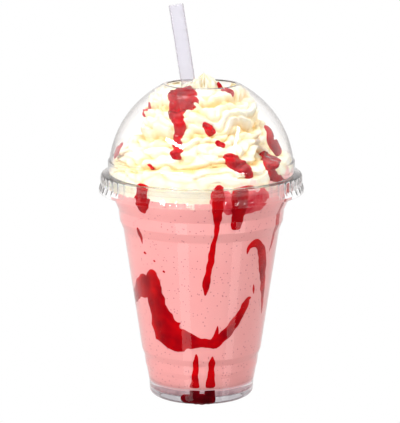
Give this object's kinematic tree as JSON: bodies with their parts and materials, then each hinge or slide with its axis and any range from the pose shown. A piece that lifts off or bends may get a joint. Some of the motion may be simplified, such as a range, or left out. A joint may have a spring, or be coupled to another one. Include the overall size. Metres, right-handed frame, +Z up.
{
  "type": "milkshake in a clear tumbler with a domed lid",
  "caption": "Milkshake with piped whipped cream in a clear stepped tumbler, under a clear domed lid with a round hole, and with a leaning drinking straw.",
  "frame": {"origin": "middle of the foot that the tumbler stands on, on the floor", "axes": "+Z up along the tumbler's axis, the straw leans towards -X, -Y is the side that faces the viewer"},
  "size_m": [0.1014, 0.1014, 0.1955],
  "materials": {
    "clear_cup": "clear, glossy",
    "clear_lid": "clear, glossy",
    "clear_straw": "clear, glossy, faintly milky",
    "milkshake": "smooth, wet, opaque pink",
    "whipped_cream": "soft, matte, ivory"
  },
  "bodies": {
    "root": {"cup": "clear_cup", "lid": "clear_lid", "straw": "clear_straw", "milkshake": "milkshake", "whipped_cream": "whipped_cream"}
  },
  "joints": []
}
